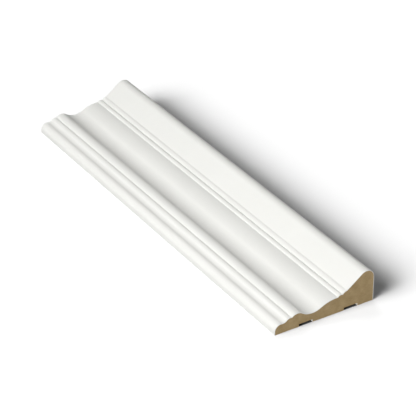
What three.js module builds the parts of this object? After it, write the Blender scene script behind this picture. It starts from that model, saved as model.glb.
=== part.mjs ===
// A straight length of casing moulding, the trim that runs around a door or a window.
// A bar of medium-density fibreboard is moulded on its face, and two shallow grooves relieve its back.
// A thin white film covers the face and both edges, and stops at the back and at the square-cut ends.
//
// The moulding lies on its back. X runs along the length, Y across the width from the thin inner edge, which
// faces the opening, to the thick outer edge, and Z up from the plane of the wall. Sizes are in millimetres.

import * as THREE from "three";

// Finished moulding
const LENGTH = 366;
const WIDTH = 90;
const THICKNESS = 28.6;
const FILM = 0.4;

// Flat part of the inner edge, from the back up to the nose
const INNER_EDGE = 2.9;

// The moulded face from the inner edge to the foot of the slope, as arcs that follow one another.
// A heading is the angle, in degrees, at which the face climbs away from the wall. An arc whose heading falls
// is a round, and one whose heading rises is a hollow. Where "from" is given, the face breaks sharply to that
// heading first, which leaves a quirk.
const FACE_ARCS = [
  { part: "nose", radius: 5.4, to: -9 },
  { part: "small cove", radius: 5.3, to: 43 },
  { part: "ovolo", radius: 4.7, to: -17 },
  { part: "torus", radius: 7.4, from: 43, to: -36 },
  { part: "wide hollow", radius: 15.6, to: 28.5 },
  { part: "swell", radius: 30.5, to: -2 },
  { part: "bead", radius: 3.3, from: 56.5, to: -29 },
  { part: "step", radius: 5.4, from: 54.5, to: 5.5 },
];

// Rounded top of the outer edge, which the straight slope runs into
const OUTER_ROUND = 7.1;

// Relief grooves in the back, by the place of their centre lines across the width
const GROOVE_CENTRES = [-17, 24];
const GROOVE_WIDTH = 12.5;
const GROOVE_DEPTH = 2.3;

// Turn of the face from one facet to the next, in degrees
const FACET_TURN = 4;

const { degToRad, radToDeg } = THREE.MathUtils;

// Unit vector to the right of a heading, which is the side of the fibreboard on the way along the face.
function inward(heading) {
  const angle = degToRad(heading);
  return new THREE.Vector2(Math.sin(angle), -Math.cos(angle));
}

// Adds an arc to an outline. It leaves the last point at one heading and turns to another, a round bending
// inward and a hollow outward.
function addArc(points, radius, fromHeading, toHeading) {
  const isRound = toHeading < fromHeading;
  const side = isRound ? 1 : -1;
  const centre = inward(fromHeading).multiplyScalar(side * radius).add(points.at(-1));
  const startAngle = degToRad(fromHeading + side * 90);
  const endAngle = degToRad(toHeading + side * 90);
  const arc = new THREE.EllipseCurve(centre.x, centre.y, radius, radius, startAngle, endAngle, isRound);
  const facets = Math.max(2, Math.ceil(Math.abs(toHeading - fromHeading) / FACET_TURN));
  points.push(...arc.getPoints(facets).slice(1));
}

// Finished outline over the inner edge, the face and the outer edge, from back plane to back plane.
function faceOutline() {
  const points = [new THREE.Vector2(-WIDTH / 2, 0), new THREE.Vector2(-WIDTH / 2, INNER_EDGE)];
  let heading = 90;
  for (const { radius, from, to } of FACE_ARCS) {
    addArc(points, radius, from ?? heading, to);
    heading = to;
  }
  // The slope is the straight line from the last arc that touches the circle of the outer round.
  const foot = points.at(-1);
  const roundCentre = new THREE.Vector2(WIDTH / 2 - OUTER_ROUND, THICKNESS - OUTER_ROUND);
  const reach = roundCentre.clone().sub(foot);
  const slope = radToDeg(reach.angle() + Math.asin(OUTER_ROUND / reach.length()));
  points.push(inward(slope).multiplyScalar(-OUTER_ROUND).add(roundCentre));
  addArc(points, OUTER_ROUND, slope, 0);
  addArc(points, OUTER_ROUND, 0, -90);
  points.push(new THREE.Vector2(WIDTH / 2, 0));
  return points;
}

// The same outline moved into the fibreboard by a depth, with mitred corners.
function insetOutline(outline, depth) {
  const last = outline.length - 1;
  const normals = outline.slice(1).map((point, index) => {
    const along = point.clone().sub(outline[index]).normalize();
    return new THREE.Vector2(along.y, -along.x);
  });
  return outline.map((point, index) => {
    const before = normals[Math.max(index - 1, 0)];
    const after = normals[Math.min(index, last - 1)];
    const mitre = before.clone().add(after).divideScalar(1 + before.dot(after));
    return point.clone().addScaledVector(mitre, depth);
  });
}

// Back of the fibreboard from the outer edge to the inner one, up and down through the grooves.
function backOutline() {
  const points = [];
  for (const centre of [...GROOVE_CENTRES].reverse()) {
    const outerWall = centre + GROOVE_WIDTH / 2;
    const innerWall = centre - GROOVE_WIDTH / 2;
    points.push(
      new THREE.Vector2(outerWall, 0),
      new THREE.Vector2(outerWall, GROOVE_DEPTH),
      new THREE.Vector2(innerWall, GROOVE_DEPTH),
      new THREE.Vector2(innerWall, 0),
    );
  }
  return points;
}

// A section run to the moulding's full length, between its two square cuts.
function runSection(name, outline, material) {
  const section = new THREE.Shape(outline);
  const geometry = new THREE.ExtrudeGeometry(section, { depth: LENGTH, bevelEnabled: false });
  geometry.translate(0, 0, -LENGTH / 2);
  const mesh = new THREE.Mesh(geometry, material);
  mesh.name = name;
  return mesh;
}

const finishedFace = faceOutline();
const mouldedFace = insetOutline(finishedFace, FILM);

const fibreboard = new THREE.MeshStandardMaterial({ color: 0xa8916c, roughness: 0.9, metalness: 0 });
const whiteSatin = new THREE.MeshStandardMaterial({ color: 0xf4f4f0, roughness: 0.45, metalness: 0 });

// Sections are drawn across the width and up, so the group turns their run onto the length.
const casing = new THREE.Group();
casing.rotation.set(Math.PI / 2, 0, Math.PI / 2, "ZYX");
casing.add(
  runSection("mdf_core", [...mouldedFace, ...backOutline()], fibreboard),
  runSection("white_film", [...finishedFace, ...mouldedFace.toReversed()], whiteSatin),
);

export default casing;
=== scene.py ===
# %% [markdown]
# # A length of white casing moulding
#
# Casing is the trim that covers the joint between a wall and the lining of a door or a window. This one is
# a bar of medium-density fibreboard, moulded on its face, with a thin white film over the face and both
# edges. The length lies on its back, and its near end is cut square, so the brown board shows in section.
#
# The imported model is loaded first, as a fixed frame. Its sizes could be typed in again, but reading them
# keeps the two models alike. Every mesh below is made where the frame says, in metres: X runs along the
# length, Y across the width towards the thick outer edge, and Z up.

# %% Load the frame
import math
import bpy
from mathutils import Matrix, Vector


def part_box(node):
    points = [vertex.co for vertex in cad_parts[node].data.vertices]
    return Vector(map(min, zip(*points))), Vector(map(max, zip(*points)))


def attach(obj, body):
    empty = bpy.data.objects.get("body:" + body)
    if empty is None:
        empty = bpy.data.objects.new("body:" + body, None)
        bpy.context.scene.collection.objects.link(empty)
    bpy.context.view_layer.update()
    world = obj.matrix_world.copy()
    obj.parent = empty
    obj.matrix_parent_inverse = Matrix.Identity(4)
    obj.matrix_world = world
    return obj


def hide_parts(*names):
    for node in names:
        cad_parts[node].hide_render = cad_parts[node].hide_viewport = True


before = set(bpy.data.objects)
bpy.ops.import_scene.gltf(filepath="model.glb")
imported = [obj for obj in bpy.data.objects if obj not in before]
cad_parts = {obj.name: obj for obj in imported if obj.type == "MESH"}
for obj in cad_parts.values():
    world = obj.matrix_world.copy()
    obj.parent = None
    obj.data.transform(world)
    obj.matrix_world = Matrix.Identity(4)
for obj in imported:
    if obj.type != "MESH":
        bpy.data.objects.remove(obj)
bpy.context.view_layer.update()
scene = bpy.context.scene
MM = 0.001
film_low, film_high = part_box("white_film")
core_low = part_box("mdf_core")[0]
LENGTH = film_high.x - film_low.x
WIDTH = film_high.y - film_low.y
THICKNESS = film_high.z - film_low.z
FILM = core_low.y - film_low.y
print(f"moulding {LENGTH / MM:.1f} x {WIDTH / MM:.1f} x {THICKNESS / MM:.1f} mm, film {FILM / MM:.2f} mm")

# %% [markdown]
# ## The camera
#
# A camera can be placed by eye, but the edges of the moulding run to three vanishing points in the
# photograph, and those fix it: a long lens, far away, about 31 degrees above the floor. It is described
# by the point on the floor that it aims at, the direction it stands in, and its distance, because these
# are easier to check than a matrix.

# %% Camera
CAMERA_AIM = Vector((2.14 * MM, 10.38 * MM, 0))
CAMERA_AZIMUTH = math.radians(57.861)
CAMERA_PITCH = math.radians(31.175)
CAMERA_DISTANCE = 1.63848
CAMERA_LENS = 173.21
SENSOR_WIDTH = 36


def direction(azimuth, elevation):
    """Unit vector towards a place seen from the part. Azimuth 0 is -Y, and 90 degrees is +X."""
    flat = math.cos(elevation)
    return Vector((math.sin(azimuth) * flat, -math.cos(azimuth) * flat, math.sin(elevation)))


def aim(thing, azimuth, elevation, distance, target):
    """Puts a camera or a lamp at a distance from a target, looking at it."""
    back = direction(azimuth, elevation)
    thing.location = target + back * distance
    thing.rotation_euler = (-back).to_track_quat("-Z", "Y").to_euler()


camera_data = bpy.data.cameras.new("camera")
camera_data.lens = CAMERA_LENS
camera_data.sensor_width = SENSOR_WIDTH
camera = bpy.data.objects.new("camera", camera_data)
scene.collection.objects.link(camera)
aim(camera, CAMERA_AZIMUTH, CAMERA_PITCH, CAMERA_DISTANCE, CAMERA_AIM)
scene.camera = camera
print("camera at", [round(x, 4) for x in camera.location])

# %% [markdown]
# ## The section
#
# A moulding is one section run through a cutter, so its shape is all in that section. From the thin inner
# edge it goes over a nose, a small cove and an ovolo, breaks into a torus, sinks into a wide hollow, swells
# out again, breaks into a bead and then a step, and climbs a straight slope to the round of the outer edge.
#
# Each member is an arc with a radius, and a heading where it ends: the angle at which the face then climbs
# away from the wall. A falling heading makes a round and a rising one a hollow. Where the face breaks
# sharply, in a quirk, the arc also has the heading that it starts with, and elsewhere that is None. The
# radii are in millimetres and the headings in degrees.
#
# The outline could be typed as points, but arcs keep it exact at any fineness. The core's outline is the
# same one moved in by the thickness of the film.

# %% Outline of the section
INNER_EDGE = 2.9 * MM
OUTER_ROUND = 7.1 * MM
TURN_PER_STEP = math.radians(2.5)
NOSE = (5.4, None, -9)
SMALL_COVE = (5.3, None, 43)
OVOLO = (4.7, None, -17)
TORUS = (7.4, 43, -36)
WIDE_HOLLOW = (15.6, None, 28.5)
SWELL = (30.5, None, -2)
BEAD = (3.3, 56.5, -29)
STEP = (5.4, 54.5, 5.5)
FACE_ARCS = (NOSE, SMALL_COVE, OVOLO, TORUS, WIDE_HOLLOW, SWELL, BEAD, STEP)
STRAIGHT_UP = math.radians(90)
STRAIGHT_DOWN = math.radians(-90)


def inward(heading):
    """Unit vector to the right of a heading, which is the side of the board."""
    return Vector((math.sin(heading), -math.cos(heading)))


def add_arc(points, radius, start, end):
    """Goes on from the last point along an arc, from one heading to another."""
    side = 1 if end < start else -1
    centre = points[-1] + inward(start) * side * radius
    steps = max(2, math.ceil(abs(end - start) / TURN_PER_STEP))
    for step in range(1, steps + 1):
        heading = start + (end - start) * step / steps
        points.append(centre - inward(heading) * side * radius)


def face_outline():
    """The finished outline from the back, up the inner edge, over the face and down the outer edge."""
    points = [Vector((-WIDTH / 2, 0)), Vector((-WIDTH / 2, INNER_EDGE))]
    heading = STRAIGHT_UP
    for radius, start, end in FACE_ARCS:
        if start is not None:
            heading = math.radians(start)
        add_arc(points, radius * MM, heading, math.radians(end))
        heading = math.radians(end)
    # The slope is the straight line from the last arc that touches the circle of the outer round.
    centre = Vector((WIDTH / 2 - OUTER_ROUND, THICKNESS - OUTER_ROUND))
    reach = centre - points[-1]
    slope = math.atan2(reach.y, reach.x) + math.asin(OUTER_ROUND / reach.length)
    points.append(centre - inward(slope) * OUTER_ROUND)
    add_arc(points, OUTER_ROUND, slope, 0)
    add_arc(points, OUTER_ROUND, 0, STRAIGHT_DOWN)
    points.append(Vector((WIDTH / 2, 0)))
    return points


def inset(points, depth):
    """The same outline moved into the board, with mitred corners."""
    normals = []
    for here, there in zip(points, points[1:]):
        along = (there - here).normalized()
        normals.append(Vector((along.y, -along.x)))
    moved = []
    for point, before, after in zip(points, normals[:1] + normals, normals + normals[-1:]):
        moved.append(point + (before + after) * depth / (1 + before.dot(after)))
    return moved


finished_face = face_outline()
moulded_face = inset(finished_face, FILM)
print(len(finished_face), "points along the face")

# %% [markdown]
# ## The back
#
# Two shallow grooves are run along the back, so that the moulding sits flat on a wall that isn't. Their
# mouths show at the near end as dark slots. They could be cut out with a boolean, but they run the whole
# length, so they are simply drawn into the section.

# %% Outline of the back
GROOVE_CENTRES = (-17 * MM, 24 * MM)
GROOVE_WIDTH = 12.5 * MM
GROOVE_DEPTH = 2.3 * MM


def back_outline():
    """The back of the board from the outer edge to the inner one, up and down through the grooves."""
    points = []
    for centre in reversed(GROOVE_CENTRES):
        outer_wall = centre + GROOVE_WIDTH / 2
        inner_wall = centre - GROOVE_WIDTH / 2
        points.append(Vector((outer_wall, 0)))
        points.append(Vector((outer_wall, GROOVE_DEPTH)))
        points.append(Vector((inner_wall, GROOVE_DEPTH)))
        points.append(Vector((inner_wall, 0)))
    return points


film_section = finished_face + moulded_face[::-1]
core_section = moulded_face + back_outline()
print("film section", len(film_section), "points, core section", len(core_section), "points")

# %% [markdown]
# ## Nodes from code
#
# Materials and geometry are both trees of nodes. They could be written out node by node and link by link.
# One small function keeps that short: it adds a node, sets it up, and fills each input, either with a value
# or with a link from another node's output.

# %% A node adder and a colour reader
# A Mix node has sockets for several kinds of data, and these are the numbers of its colour sockets.
MIX_FIRST = 6
MIX_SECOND = 7
MIX_RESULT = 2


def add(tree, kind, inputs=(), **settings):
    """Adds a node with its settings. An input is a socket's name or number, with a value or a socket."""
    node = tree.nodes.new(kind)
    for name, value in settings.items():
        setattr(node, name, value)
    for key, value in dict(inputs).items():
        if isinstance(value, bpy.types.NodeSocket):
            tree.links.new(value, node.inputs[key])
        else:
            node.inputs[key].default_value = value
    return node


def colour(hex_code):
    """An sRGB hex colour as the linear red, green, blue and alpha that a shader works in."""
    channels = [int(hex_code[i:i + 2], 16) / 255 for i in (1, 3, 5)]
    return [c / 12.92 if c <= 0.04045 else ((c + 0.055) / 1.055) ** 2.4 for c in channels] + [1]


def new_material(name):
    """A material with an empty tree of nodes. Returns both."""
    material = bpy.data.materials.new(name)
    material.use_nodes = True
    material.node_tree.nodes.clear()
    return material, material.node_tree


print("mid grey in linear light", [round(x, 3) for x in colour("#808080")])

# %% [markdown]
# ## White satin film
#
# The face is finished with a factory-applied film in satin white. It is very even: the eye reads it by how
# the members turn through the light, and by a soft sheen. Close up, it has the faint orange peel of a
# coating, and a little of the ripple that the cutter left along the length shows through.
#
# A plain white shader would do from afar. Up close, a slow mottle in tint and sheen and two kinds of relief
# take the drawn look away. Peel and ripple are bump, because both are far too shallow to be worth a mesh.

# %% Material of the film
FILM_MOTTLE = 30 * MM
FILM_GREYER = "#E6E6E2"
FILM_PALER = "#EAEAE6"
FILM_ROUGHNESS_LOW = 0.40
FILM_ROUGHNESS_HIGH = 0.50
COATING_IOR = 1.5
# The peel is drawn coarser than a real one, which would be too fine to show.
ORANGE_PEEL = 1.6 * MM
CUTTER_RIPPLE = 2.2 * MM
RIPPLE_WANDER = 0.4
RIPPLE_SHARE = 0.15
FILM_RELIEF = 0.02 * MM
FILM_RELIEF_STRENGTH = 0.25
# A wave texture turns through this many radians for each unit of length, at a scale of 1.
WAVE_RATE = 20


def satin_white_film():
    """Satin white coating: even colour, soft sheen, faint orange peel and cutter ripple."""
    material, tree = new_material("satin white coating film")
    place = add(tree, "ShaderNodeTexCoord").outputs["Object"]
    mottle = add(tree, "ShaderNodeTexNoise", {"Vector": place, "Scale": 1 / FILM_MOTTLE, "Detail": 2})
    tint = add(tree, "ShaderNodeMix", {
        "Factor": mottle.outputs["Fac"], MIX_FIRST: colour(FILM_GREYER), MIX_SECOND: colour(FILM_PALER),
    }, data_type="RGBA")
    sheen = add(tree, "ShaderNodeMapRange", {
        "Value": mottle.outputs["Fac"], "To Min": FILM_ROUGHNESS_LOW, "To Max": FILM_ROUGHNESS_HIGH,
    })
    peel = add(tree, "ShaderNodeTexNoise", {"Vector": place, "Scale": 1 / ORANGE_PEEL, "Detail": 1})
    ripple = add(tree, "ShaderNodeTexWave", {
        "Vector": place, "Scale": math.tau / CUTTER_RIPPLE / WAVE_RATE, "Distortion": RIPPLE_WANDER,
    }, bands_direction="X")
    relief = add(tree, "ShaderNodeMath", {
        0: ripple.outputs["Fac"], 1: RIPPLE_SHARE, 2: peel.outputs["Fac"],
    }, operation="MULTIPLY_ADD")
    bump = add(tree, "ShaderNodeBump", {
        "Height": relief.outputs[0], "Strength": FILM_RELIEF_STRENGTH, "Distance": FILM_RELIEF,
    })
    shader = add(tree, "ShaderNodeBsdfPrincipled", {
        "Base Color": tint.outputs[MIX_RESULT], "Roughness": sheen.outputs[0], "IOR": COATING_IOR,
        "Normal": bump.outputs[0],
    })
    add(tree, "ShaderNodeOutputMaterial", {"Surface": shader.outputs[0]})
    return material


film_material = satin_white_film()
print("made", film_material.name)

# %% [markdown]
# ## Bare fibreboard
#
# Medium-density fibreboard is wood fibre pressed with glue. Sawn across, it is a dull tan with no grain,
# only soft clouds of paler and darker fibre a few millimetres wide, fine flecks, and fibres that lie flat
# in the plane of the board. It hardly shines at all.
#
# One noise would look like sandstone. Three are added up instead, for the clouds, the flat fibres and the
# flecks, and their sum drives both the tone and the relief of the sawn surface.

# %% Material of the sawn ends
FIBRE_CLOUDS = 7 * MM
FIBRE_LENGTH = 3 * MM
# Real fibres and flecks are finer than these two. They are drawn coarser so that they show.
FIBRE_WIDTH = 0.6 * MM
FLECKS = 0.9 * MM
FIBRE_SHARE = 0.5
FLECK_SHARE = 0.35
DARKEST_SUM = 0.65
PALEST_SUM = 1.2
BOARD_DARK = "#A08961"
BOARD_PALE = "#B69F78"
BOARD_ROUGHNESS = 0.9
BOARD_IOR = 1.45
SAWN_RELIEF = 0.08 * MM
SAWN_RELIEF_STRENGTH = 0.5


def sawn_fibreboard():
    """Medium-density fibreboard, sawn: tan clouds, flat fibres and flecks, nearly matt."""
    material, tree = new_material("sawn medium-density fibreboard")
    place = add(tree, "ShaderNodeTexCoord").outputs["Object"]
    clouds = add(tree, "ShaderNodeTexNoise", {"Vector": place, "Scale": 1 / FIBRE_CLOUDS, "Detail": 3})
    lie = add(tree, "ShaderNodeMapping", {
        "Vector": place, "Scale": (1 / FIBRE_LENGTH, 1 / FIBRE_LENGTH, 1 / FIBRE_WIDTH),
    })
    fibres = add(tree, "ShaderNodeTexNoise", {"Vector": lie.outputs[0], "Scale": 1, "Detail": 3})
    flecks = add(tree, "ShaderNodeTexNoise", {"Vector": place, "Scale": 1 / FLECKS, "Detail": 2})
    streaks = add(tree, "ShaderNodeMath", {
        0: fibres.outputs["Fac"], 1: FIBRE_SHARE, 2: clouds.outputs["Fac"],
    }, operation="MULTIPLY_ADD")
    grain = add(tree, "ShaderNodeMath", {
        0: flecks.outputs["Fac"], 1: FLECK_SHARE, 2: streaks.outputs[0],
    }, operation="MULTIPLY_ADD")
    shade = add(tree, "ShaderNodeMapRange", {
        "Value": grain.outputs[0], "From Min": DARKEST_SUM, "From Max": PALEST_SUM,
    })
    tone = add(tree, "ShaderNodeMix", {
        "Factor": shade.outputs[0], MIX_FIRST: colour(BOARD_DARK), MIX_SECOND: colour(BOARD_PALE),
    }, data_type="RGBA")
    bump = add(tree, "ShaderNodeBump", {
        "Height": grain.outputs[0], "Strength": SAWN_RELIEF_STRENGTH, "Distance": SAWN_RELIEF,
    })
    shader = add(tree, "ShaderNodeBsdfPrincipled", {
        "Base Color": tone.outputs[MIX_RESULT], "Roughness": BOARD_ROUGHNESS, "IOR": BOARD_IOR,
        "Normal": bump.outputs[0],
    })
    add(tree, "ShaderNodeOutputMaterial", {"Surface": shader.outputs[0]})
    return material


board_material = sawn_fibreboard()
print("made", board_material.name)

# %% [markdown]
# ## Primed back
#
# The back and the grooves are only primed, with a thin flat white that lets the board's colour through in
# places. It keeps the damp out and isn't meant to be seen, so the eye gets an off-white, patchy, chalky
# surface with a little raised fibre.
#
# A flat colour would do for the narrow strip that shows here, but a model can be turned over. So one noise
# gives the patches and a finer one the fibre.

# %% Material of the back
PRIMER_PATCHES = 12 * MM
THIN_COVER = 0.3
FULL_COVER = 0.6
PRIMER_THIN = "#CFC8B9"
PRIMER_THICK = "#DEDDD7"
PRIMER_ROUGHNESS = 0.8
# Raised fibre is drawn as coarse as the flecks of the sawn ends, because a real nap would be lost.
RAISED_FIBRE = FLECKS
NAP_RELIEF = 0.05 * MM
NAP_RELIEF_STRENGTH = 0.4


def thin_primer():
    """Thin flat primer on fibreboard: off-white, patchy and matt."""
    material, tree = new_material("thin white primer on fibreboard")
    place = add(tree, "ShaderNodeTexCoord").outputs["Object"]
    patches = add(tree, "ShaderNodeTexNoise", {"Vector": place, "Scale": 1 / PRIMER_PATCHES, "Detail": 4})
    cover = add(tree, "ShaderNodeMapRange", {
        "Value": patches.outputs["Fac"], "From Min": THIN_COVER, "From Max": FULL_COVER,
    })
    tone = add(tree, "ShaderNodeMix", {
        "Factor": cover.outputs[0], MIX_FIRST: colour(PRIMER_THIN), MIX_SECOND: colour(PRIMER_THICK),
    }, data_type="RGBA")
    nap = add(tree, "ShaderNodeTexNoise", {"Vector": place, "Scale": 1 / RAISED_FIBRE, "Detail": 2})
    bump = add(tree, "ShaderNodeBump", {
        "Height": nap.outputs["Fac"], "Strength": NAP_RELIEF_STRENGTH, "Distance": NAP_RELIEF,
    })
    shader = add(tree, "ShaderNodeBsdfPrincipled", {
        "Base Color": tone.outputs[MIX_RESULT], "Roughness": PRIMER_ROUGHNESS, "IOR": COATING_IOR,
        "Normal": bump.outputs[0],
    })
    add(tree, "ShaderNodeOutputMaterial", {"Surface": shader.outputs[0]})
    return material


primer_material = thin_primer()
print("made", primer_material.name)

# %% [markdown]
# ## Running the section
#
# The real bar is pushed past a cutter. Pushing a section along a straight line is a rule, so Geometry Nodes
# make both pieces with one tree, where two meshes built by hand would repeat the same work. Curve to Mesh
# sweeps the section along a line from the near end to the far one and closes both ends.
#
# Edges that turn sharply, at the quirks and the cuts, are kept crisp, and the rest is shaded smooth. The
# faces that look along the length are the cut ends, and they get a material of their own.

# %% Tree that runs a section
CRISP_ANGLE = math.radians(20)
SLICES = 24
# A face is a cut end where its normal leans along the length by more than this share.
END_LEAN = 0.5


def section_runner():
    """A tree that sweeps a section along X. Returns it, and its inputs' identifiers by name."""
    tree = bpy.data.node_groups.new("run a section", "GeometryNodeTree")
    tree.is_modifier = True
    tree.interface.new_socket("Geometry", in_out="OUTPUT", socket_type="NodeSocketGeometry")
    kinds = {"Section": "Object", "Length": "Float", "Slices": "Int", "Run": "Material", "Ends": "Material"}
    keys = {}
    for name, kind in kinds.items():
        socket = tree.interface.new_socket(name, in_out="INPUT", socket_type="NodeSocket" + kind)
        keys[name] = socket.identifier
    given = add(tree, "NodeGroupInput").outputs
    half = add(tree, "ShaderNodeMath", {0: given["Length"], 1: 0.5}, operation="MULTIPLY").outputs[0]
    minus = add(tree, "ShaderNodeMath", {0: half, 1: -1.0}, operation="MULTIPLY").outputs[0]
    near = add(tree, "ShaderNodeCombineXYZ", {"X": half}).outputs[0]
    far = add(tree, "ShaderNodeCombineXYZ", {"X": minus}).outputs[0]
    line = add(tree, "GeometryNodeCurvePrimitiveLine", {"Start": near, "End": far}).outputs[0]
    count = add(tree, "ShaderNodeMath", {0: given["Slices"], 1: 1.0}, operation="ADD").outputs[0]
    path = add(tree, "GeometryNodeResampleCurve", {"Curve": line, "Count": count}).outputs[0]
    section = add(tree, "GeometryNodeObjectInfo", {"Object": given["Section"]}).outputs["Geometry"]
    run = add(tree, "GeometryNodeCurveToMesh", {
        "Curve": path, "Profile Curve": section, "Fill Caps": True,
    }).outputs[0]
    smooth = add(tree, "GeometryNodeSetShadeSmooth", {"Geometry": run, "Shade Smooth": True}).outputs[0]
    turn = add(tree, "GeometryNodeInputMeshEdgeAngle").outputs["Unsigned Angle"]
    crisp = add(tree, "ShaderNodeMath", {0: turn, 1: CRISP_ANGLE}, operation="GREATER_THAN").outputs[0]
    edged = add(tree, "GeometryNodeSetShadeSmooth", {
        "Geometry": smooth, "Selection": crisp, "Shade Smooth": False,
    }, domain="EDGE").outputs[0]
    normal = add(tree, "GeometryNodeInputNormal").outputs[0]
    facing = add(tree, "ShaderNodeSeparateXYZ", {0: normal}).outputs["X"]
    along = add(tree, "ShaderNodeMath", {0: facing}, operation="ABSOLUTE").outputs[0]
    is_end = add(tree, "ShaderNodeMath", {0: along, 1: END_LEAN}, operation="GREATER_THAN").outputs[0]
    real = add(tree, "GeometryNodeRealizeInstances", {"Geometry": edged}).outputs[0]
    coated = add(tree, "GeometryNodeSetMaterial", {"Geometry": real, "Material": given["Run"]}).outputs[0]
    ended = add(tree, "GeometryNodeSetMaterial", {
        "Geometry": coated, "Selection": is_end, "Material": given["Ends"],
    }).outputs[0]
    add(tree, "NodeGroupOutput", {"Geometry": ended})
    return tree, keys


runner, runner_keys = section_runner()
print("tree with inputs", ", ".join(runner_keys))

# %% [markdown]
# ## The two pieces
#
# The film wraps the face and both edges of the board, and the board fills the rest. Each section becomes a
# closed curve, the tree runs it, and the result is kept as a plain mesh. On a path that runs towards -X,
# Curve to Mesh sets the section's own X across the width and its Y downwards.

# %% Film and core


def run_piece(name, outline, run_material, end_material):
    """Makes one piece by running an outline of width and height along the moulding."""
    curve = bpy.data.curves.new(name + "_section", "CURVE")
    curve.dimensions = "3D"
    spline = curve.splines.new("POLY")
    spline.points.add(len(outline) - 1)
    for control, point in zip(spline.points, outline):
        control.co = (point.x, -point.y, 0, 1)
    spline.use_cyclic_u = True
    section = bpy.data.objects.new(name + "_section", curve)
    piece = bpy.data.objects.new(name, bpy.data.meshes.new(name))
    scene.collection.objects.link(section)
    scene.collection.objects.link(piece)
    modifier = piece.modifiers.new("run", "NODES")
    modifier.node_group = runner
    settings = {
        "Section": section, "Length": LENGTH, "Slices": SLICES, "Run": run_material, "Ends": end_material,
    }
    for key, value in settings.items():
        modifier[runner_keys[key]] = value
    evaluated = piece.evaluated_get(bpy.context.evaluated_depsgraph_get())
    mesh = bpy.data.meshes.new_from_object(evaluated)
    piece.modifiers.remove(modifier)
    piece.data = mesh
    bpy.data.objects.remove(section)
    print(name, "has", len(mesh.polygons), "faces and", [finish.name for finish in mesh.materials])
    return piece


film = run_piece("satin_white_film", film_section, film_material, film_material)
core = run_piece("fibreboard_core", core_section, primer_material, board_material)

# %% [markdown]
# ## Floor
#
# The moulding lies on a plain pale sheet that has to burn out to white while the moulding keeps its tones.
# A white sheet would do, but it would also show the light that the moulding and its brown end throw back
# onto it. A pale grey one under stronger lamps looks as white and shows less of that.
#
# A darker card under the moulding, a little smaller than its back, is painted shade. It shows only through
# the mouths of the grooves, where its grey stands in for the deep shadow inside them.

# %% Floor
FLOOR_SIZE = 8
FLOOR_GAP = 0.05 * MM
FLOOR_GREY = "#B8B8B8"
CARD_GAP = 0.02 * MM
CARD_MARGIN = 0.1 * MM
# Painted shade: the grey of the card, seen in the mouths of the grooves, stands in for their deep shadow.
GROOVE_SHADE_GREY = "#5C5C5C"


def flat_sheet(name, length, width, height, hex_code):
    """A matt sheet that lies level, with its middle under the part's."""
    mesh = bpy.data.meshes.new(name)
    corners = [(-1, -1), (1, -1), (1, 1), (-1, 1)]
    mesh.from_pydata([(x * length / 2, y * width / 2, height) for x, y in corners], [], [(0, 1, 2, 3)])
    material, tree = new_material(name)
    shader = add(tree, "ShaderNodeBsdfPrincipled", {
        "Base Color": colour(hex_code), "Roughness": 1.0, "Specular IOR Level": 0.0,
    })
    add(tree, "ShaderNodeOutputMaterial", {"Surface": shader.outputs[0]})
    mesh.materials.append(material)
    sheet = bpy.data.objects.new(name, mesh)
    scene.collection.objects.link(sheet)
    return sheet


floor = flat_sheet("pale_paper_floor", FLOOR_SIZE, FLOOR_SIZE, -FLOOR_GAP, FLOOR_GREY)
# The darker card is painted shade for the insides of the grooves.
groove_shade_card = flat_sheet("grey_card", LENGTH - 2 * CARD_MARGIN, WIDTH - 2 * FILM, -CARD_GAP, GROOVE_SHADE_GREY)
print("floor", FLOOR_SIZE, "m square, with a card under the part")

# %% [markdown]
# ## Lamps
#
# One set of lamps for everything would burn the face out along with the floor. Light linking gives each
# lamp a group of objects that it lights, so the moulding and the floor can have lamps of their own. The
# film and the board are also groups, for one lamp each at the near end.

# %% Lamp helpers
PART_CENTRE = Vector((0, 0, THICKNESS / 2))
SUN_DISTANCE = 2


def group(name, *objects):
    """A collection that names what a lamp lights."""
    made = bpy.data.collections.new(name)
    for thing in objects:
        made.objects.link(thing)
    return made


def lamp(name, kind, lights, strength, azimuth, elevation, distance, **settings):
    """Adds a lamp that lights one group. It stands off the part's centre, by degrees and metres."""
    data = bpy.data.lights.new(name, kind)
    data.energy = strength
    for key, value in settings.items():
        setattr(data, key, value)
    made = bpy.data.objects.new(name, data)
    scene.collection.objects.link(made)
    aim(made, math.radians(azimuth), math.radians(elevation), distance, PART_CENTRE)
    made.light_linking.receiver_collection = lights
    return made


def sun(name, lights, strength, azimuth, elevation, spread):
    """A far lamp whose disc spans an angle in degrees. A wider disc gives a softer shadow."""
    return lamp(name, "SUN", lights, strength, azimuth, elevation, SUN_DISTANCE, angle=math.radians(spread))


def make_quiet(lamps):
    """Stops the light of some lamps from bouncing, and keeps them out of reflections."""
    for quiet in lamps:
        quiet.data.cycles.max_bounces = 0
        quiet.visible_glossy = False


the_part = group("the part", film, core)
the_film = group("the film", film)
the_core = group("the core", core)
the_floor = group("the floor", floor, groove_shade_card)
print("lit apart:", [lit.name for lit in (the_part, the_film, the_core, the_floor)])

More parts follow.
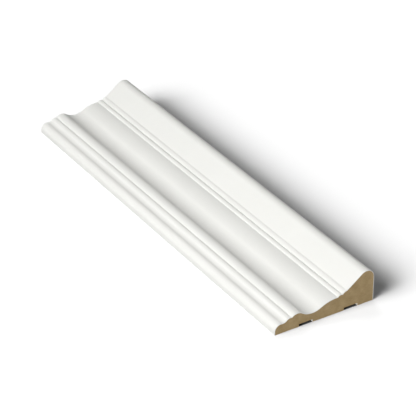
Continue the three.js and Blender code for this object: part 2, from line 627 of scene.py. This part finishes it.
# %% [markdown]
# ## Lamps on the moulding
#
# A softbox on the inner side models the face. Low light, like that of white cards, lifts both ends and the
# outer edge. The board's card shines into the mouths of the grooves, where a pale wall shows. It would be
# too strong for the inner edge, so the film has another.
#
# The cards are made quiet. Their light doesn't bounce off the moulding onto the floor, and they stay out of
# reflections, or the satin face would blaze when it is seen along its length.

# %% Lamps on the moulding
lamp("softbox", "AREA", the_part, 34.6, azimuth=15, elevation=42, distance=1.7, size=1.1)
cards = (
    sun("end card", the_film, 1.95, azimuth=90, elevation=0, spread=90),
    sun("board card", the_core, 2.23, azimuth=30, elevation=8, spread=20),
    sun("back card", the_part, 1.1, azimuth=180, elevation=0, spread=90),
    sun("far card", the_part, 1.9, azimuth=-90, elevation=0, spread=20),
)
make_quiet(cards)
print("softbox and", [card.name for card in cards])

# %% [markdown]
# ## Lamps on the floor
#
# Broad lamps on the inner side draw the soft shadow along the outer edge. One is turned towards each end to
# round that shadow off, and a high one behind the far end draws the faint pool of shadow in front of the
# near end.
#
# A floor this bright would throw too much light back onto the moulding and wash out its inner edge, and the
# cut end would tint the floor in front of it. So only two of these lamps may bounce, and the rest are made
# quiet.

# %% Lamps on the floor
sun("floor key", the_floor, 3.85, azimuth=1, elevation=31, spread=27)
sun("far wash", the_floor, 0.5, azimuth=-35, elevation=32, spread=34)
washes = (
    sun("high wash", the_floor, 3.6, azimuth=1, elevation=38, spread=36),
    sun("near wash", the_floor, 3.8, azimuth=20, elevation=26, spread=27),
    sun("end wash", the_floor, 0.85, azimuth=-105, elevation=50, spread=20),
)
make_quiet(washes)
print("floor key, far wash and", [wash.name for wash in washes])

# %% [markdown]
# ## Surroundings and tone
#
# A grey world would be the quickest soft light, but it would light every group alike. The lamps give all
# the light here, so the world is black. The Standard view shows colours as they are set and lets white
# burn out.

# %% World and tone
world = bpy.data.worlds.new("studio")
world.use_nodes = True
world.node_tree.nodes["Background"].inputs["Color"].default_value = (0, 0, 0, 1)
scene.world = world
scene.view_settings.view_transform = "Standard"

# %% [markdown]
# ## Handing over
#
# Each piece rides on the model's only body and stands for the solid it dresses, which is hidden.

# %% Hand over
for piece, node, slot in ((film, "white_film", "white_film"), (core, "mdf_core", "mdf")):
    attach(piece, "root")
    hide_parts(node)
